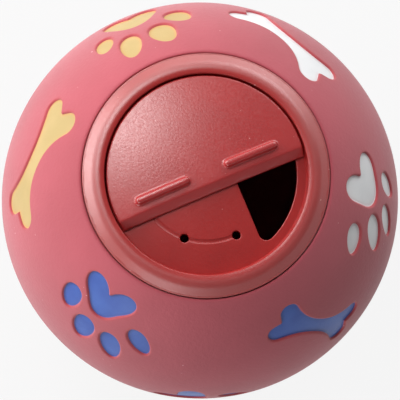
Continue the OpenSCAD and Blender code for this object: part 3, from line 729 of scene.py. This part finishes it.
gateSizes = {
    "radius": capSizes["gateRadius"], "edge": 5.4, "under": 150.25, "thick": 2.3, "thinnest": 0.3,
    "footRadius": 25.9, "slope": 2.3, "land": 0.6, "slopeBlend": 0.09, "rimRound": 0.5, "footRound": 0.18,
    "ribStart": 4.9, "ribLength": 15.4, "ribWidth": 2.3, "ribHeight": 1.7,
    "ribSide": 0.98, "ribSoft": 0.1, "ribDome": 0.18,
    "stem": 2.6, "stemOverlap": 1.1, "bore": 1.12, "boreDepth": 6.42, "endPlay": 0.2, "nub": 0.7}
gateMesh = {   # rows of points by their distance from the rim, the straight edge and a rib's middle line
    "rim": (0.02, 0.07, 0.15, 0.26, 0.4, 0.55, 0.9),
    "edge": (0.03, 0.08, 0.18, 0.4, 1.2, 1.9, 2.1, 2.2, 2.3, 2.4, 2.5, 2.7, 3.1),
    "rib": (0, 0.3, 0.52, 0.66, 0.76, 0.84, 0.91, 0.98, 1.05, 1.12, 1.2, 1.3, 1.42, 1.6, 1.9),
    "edgeReach": 26.1, "ribSpacing": 0.45,
    "gridReach": 26, "gridSpacing": 1.3, "gridTo": 24.8, "edgeGap": 4, "ribGap": 2.4}


# Both ends of a rib's middle line, which stops half a width from the rib's ends
def ribEnds():
    start, length, width = gateSizes["ribStart"], gateSizes["ribLength"], gateSizes["ribWidth"]
    return start + width / 2, start + length - width / 2


# Distance to the nearer rib's middle line
def ribDistance(points):
    first, last = ribEnds()
    x = np.abs(points[:, 0])
    return np.hypot(x - np.clip(x, first, last), points[:, 1])


# Section of a rib: a low dome times a logistic step, which rounds its shoulders and fillets its foot
def ribRise(distance):
    size = gateSizes
    dome = size["ribHeight"] * (1 - size["ribDome"] * (distance / size["ribWidth"] * 2).clip(0, 1.5) ** 2)
    return dome / (1 + np.exp((distance - size["ribSide"]) / size["ribSoft"]))


# Outline at an offset round a rib's middle line, or that line itself at no offset. Side is 1 or -1
def ribLoop(side, offset):
    first, last = ribEnds()
    if offset == 0:
        return side * np.column_stack([np.linspace(first, last, 30), np.zeros(30)])
    outline = np.vstack([
        arcPoints((last, 0), offset, -90, 90, 13), arcPoints((first, 0), offset, 90, 270, 13)])
    return side * resampled(outline, gateMesh["ribSpacing"])


# Height over the plane: the crown, a slope along the straight edge, a rolled rim and two ribs
def gatePlate():
    size, fine = gateSizes, gateMesh
    corner = np.degrees(np.arcsin(size["edge"] / size["radius"]))
    arc = arcPoints((0, 0), size["radius"], -corner, 180 + corner, 190)
    straight = np.column_stack([np.linspace(arc[-1, 0], arc[0, 0], 83)[1:-1], np.full(81, -size["edge"])])
    outline = np.vstack([arc, straight])
    row = np.linspace(-fine["edgeReach"], fine["edgeReach"], 90)
    extra = [arcPoints((0, 0), size["radius"] - step, -12, 192, 180) for step in fine["rim"]]
    extra += [np.column_stack([row, np.full(len(row), step - size["edge"])]) for step in fine["edge"]]
    extra += [ribLoop(side, step) for side in (1, -1) for step in fine["rib"]]
    grid = hexGrid(fine["gridReach"], fine["gridSpacing"])
    loose = np.vstack([*extra, grid])
    isGrid = np.arange(len(loose)) >= len(loose) - len(grid)
    radius = np.hypot(*loose.T)
    keep = (radius < size["radius"] - 0.01) & (loose[:, 1] > 0.01 - size["edge"])
    roomy = (loose[:, 1] > fine["edgeGap"] - size["edge"]) & (ribDistance(loose) > fine["ribGap"])
    keep &= ~isGrid | ((radius < fine["gridTo"]) & roomy)
    points = np.vstack([outline, loose[keep]])
    loop = np.arange(len(outline))
    triangles = triangulate(points, [loop])
    centre = points[triangles].mean(1)
    triangles = triangles[(centre[:, 1] > -size["edge"]) & (np.hypot(*centre.T) < size["radius"])]
    fromEdge = points[:, 1] + size["edge"]
    slope = size["land"] + fromEdge * (size["thick"] - size["land"]) / size["slope"]
    thick = smoothMin(slope, np.full(len(points), size["thick"]), size["slopeBlend"])
    thick = thick - quarterRound(size["radius"] - np.hypot(*points.T), size["rimRound"])
    thick = thick - quarterRound(fromEdge, size["footRound"]) + ribRise(ribDistance(points))
    thick = np.maximum(thick, size["thinnest"])
    top = np.column_stack([points, crownHeight(points, size["under"] + thick)])
    outness = (np.hypot(*points.T) / size["radius"])[:, None]   # the underside is pulled in near the rim alone
    low = points * (1 - (1 - size["footRadius"] / size["radius"]) * outness ** 10)
    low[:, 1] = np.maximum(low[:, 1], -size["edge"])
    under = np.column_stack([low, crownHeight(low, size["under"])])
    onArc = np.hypot(*outline.T) > size["radius"] - 0.01
    ledgeZ = crownHeight(outline, size["under"]) + 0.05   # over the underside, and over the cove along the arc
    ledge = np.column_stack([outline, np.where(onArc, np.maximum(ledgeZ, coveTopZ), ledgeZ)])
    count = len(points)
    ledgeLoop = 2 * count + loop
    return np.vstack([top, under, ledge]), [
        triangles, triangles[:, ::-1] + count, strip(loop, ledgeLoop), strip(ledgeLoop, loop + count)]


washerTopZ = hubBottomZ - gateSizes["endPlay"]
boreTopZ = washerTopZ + gateSizes["boreDepth"]
stemTopZ = crownZ + gateSizes["under"] + gateSizes["stemOverlap"]
stemProfile = rounded([
    (0, boreTopZ, 0), (gateSizes["bore"], boreTopZ, 0.05), (gateSizes["bore"], washerTopZ, 0.15),
    (gateSizes["stem"], washerTopZ, 0.25), (gateSizes["stem"], stemTopZ, 0.05), (0, stemTopZ, 0)])
nubPoints, nubFaces = lathe(arcPoints((0, 0), gateSizes["nub"], -90, 90, 13), 32, closed=False)
nubRadius = capSizes["crown"] - capSizes["trackDepth"] + capSizes["trackRadius"]
nubTilt = np.arcsin(capSizes["holeRing"] / capSizes["crown"])
nubTurn = np.radians(180 + capSizes["detentTurn"])
nubPoints = nubPoints + [
    nubRadius * np.sin(nubTilt) * np.cos(nubTurn), nubRadius * np.sin(nubTilt) * np.sin(nubTurn),
    crownZ + nubRadius * np.cos(nubTilt)]
makePiece("gatePlate", [gatePlate(), lathe(stemProfile, 64), (nubPoints, nubFaces)], gatePlastic, "gate",
          "gate")

for node in ("pivot_screw", "pivot_washer"):
    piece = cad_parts[node]
    piece.data.materials.clear()
    piece.data.materials.append(steel)
print("gate made")


stageLook = {
    "floorColour": (0.5, 0.5, 0.5), "floorRoughness": 0.9, "whiteShare": 0.88, "size": 6.0,
    "worldStrength": 0.2, "wallFade": (0.05, 0.35), "ceiling": 0.15}


# 1 for rays from the camera, and for those that metal or glass sends on
def directRays(tree):
    path = tree.nodes.new("ShaderNodeLightPath")
    value = path.outputs["Is Camera Ray"]
    for kind in ("Is Glossy Ray", "Is Transmission Ray"):
        larger = tree.nodes.new("ShaderNodeMath")
        larger.operation = "MAXIMUM"
        tree.links.new(value, larger.inputs[0])
        tree.links.new(path.outputs[kind], larger.inputs[1])
        value = larger.outputs[0]
    return value


# Pale floor whose own colour is partly plain white to the camera, so that only a soft shadow shows
def paleFloor(look):
    mesh = bpy.data.meshes.new("paleFloor")
    half = look["size"] / 2
    corners = [(-half, -half, 0), (half, -half, 0), (half, half, 0), (-half, half, 0)]
    mesh.from_pydata(corners, [], [(0, 1, 2, 3)])
    floor = bpy.data.objects.new("paleFloor", mesh)
    bpy.context.scene.collection.objects.link(floor)
    material = bpy.data.materials.new("paleFloor")
    material.use_nodes = True
    nodes, links = material.node_tree.nodes, material.node_tree.links
    shader, output = nodes["Principled BSDF"], nodes["Material Output"]
    shader.inputs["Base Color"].default_value = (*look["floorColour"], 1)
    shader.inputs["Roughness"].default_value = look["floorRoughness"]
    glow = nodes.new("ShaderNodeEmission")
    glow.inputs["Strength"].default_value = 1
    blend = nodes.new("ShaderNodeMixShader")
    share = nodes.new("ShaderNodeMath")
    share.operation = "MULTIPLY"
    share.inputs[1].default_value = look["whiteShare"]
    links.new(directRays(material.node_tree), share.inputs[0])
    links.new(share.outputs[0], blend.inputs["Fac"])
    links.new(shader.outputs[0], blend.inputs[1])
    links.new(glow.outputs[0], blend.inputs[2])
    links.new(blend.outputs[0], output.inputs["Surface"])
    mesh.materials.append(material)


# Round lamp that looks at the ball, placed by the picture's right, up and back
def softbox(name, toward, distance, size, power):
    lamp = bpy.data.lights.new(name, "AREA")
    lamp.shape, lamp.size, lamp.energy = "DISK", size, power
    holder = bpy.data.objects.new(name, lamp)
    direction = np.array(toward) @ np.stack([right, up, back])
    direction /= np.linalg.norm(direction)
    holder.location = Vector(middle * mm + direction * distance)
    holder.rotation_euler = Vector(direction).to_track_quat("Z", "Y").to_euler()
    bpy.context.scene.collection.objects.link(holder)


lamps = [   # where each stands by the picture's right, up and back, its distance, width and power
    ("keyBox", (-0.29, 0.50, 0.82), 1.0, 0.4, 3.9),
    ("leftBox", (-0.97, 0.05, 0.25), 1.0, 0.7, 4.6),
    ("cornerBox", (-0.82, 0.52, 0.25), 1.0, 0.7, 5.1),
    ("topBox", (-0.12, 0.97, 0.22), 1.0, 0.7, 2.0),
    ("rightBox", (0.45, 0.86, 0.25), 1.0, 0.7, 4.4),
    ("tableBox", (-0.42, -0.88, 0.20), 1.0, 0.7, 4.4)]
for lamp in lamps:
    softbox(*lamp)
paleFloor(stageLook)
world = bpy.data.worlds.new("studio")
world.use_nodes = True
worldTree = world.node_tree
background = worldTree.nodes["Background"]
background.inputs["Color"].default_value = (1, 1, 1, 1)
toward = worldTree.nodes.new("ShaderNodeTexCoord")
height = worldTree.nodes.new("ShaderNodeSeparateXYZ")
worldTree.links.new(toward.outputs["Generated"], height.inputs[0])
wall = worldTree.nodes.new("ShaderNodeMapRange")   # white walls round the stage, and a dark ceiling over it
wallRange = (*stageLook["wallFade"], 1, stageLook["ceiling"])
for socket, number in zip(("From Min", "From Max", "To Min", "To Max"), wallRange):
    wall.inputs[socket].default_value = number
worldTree.links.new(height.outputs["Z"], wall.inputs["Value"])
strength = worldTree.nodes.new("ShaderNodeMapRange")   # white where it is seen, dim where it lights
strength.inputs["To Min"].default_value = stageLook["worldStrength"]
worldTree.links.new(directRays(worldTree), strength.inputs["Value"])
worldTree.links.new(wall.outputs["Result"], strength.inputs["To Max"])
worldTree.links.new(strength.outputs["Result"], background.inputs["Strength"])
bpy.context.scene.world = world
bpy.context.scene.view_settings.view_transform = "Standard"
print("stage lit")
